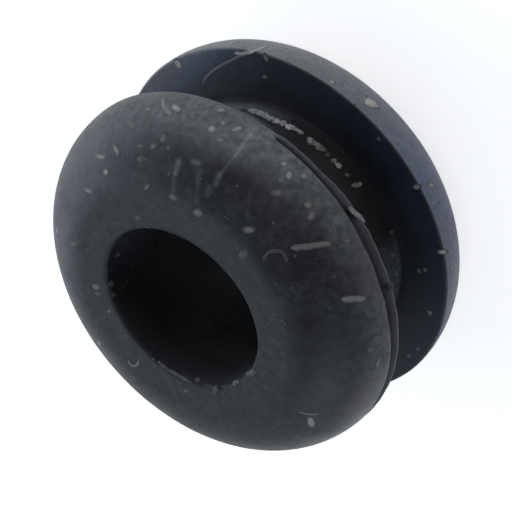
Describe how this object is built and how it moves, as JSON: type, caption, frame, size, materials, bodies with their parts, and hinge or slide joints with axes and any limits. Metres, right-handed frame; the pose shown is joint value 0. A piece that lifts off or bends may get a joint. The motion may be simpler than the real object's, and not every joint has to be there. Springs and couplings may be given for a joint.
{
  "type": "rubber grommet",
  "caption": "Round moulded rubber grommet with two rounded flanges, a groove for a panel's edge and a straight bore that a cable passes through.",
  "frame": {"origin": "on the bore's axis, at the middle of the panel groove", "axes": "+Z along the bore; the part stands on one end, and its two ends are alike"},
  "size_m": [0.014, 0.014, 0.0086],
  "materials": {
    "rubber": "matt moulded black rubber, dusty, with fine scratches and a little moulding flash"
  },
  "bodies": {
    "root": {"grommet": "rubber"}
  },
  "joints": []
}
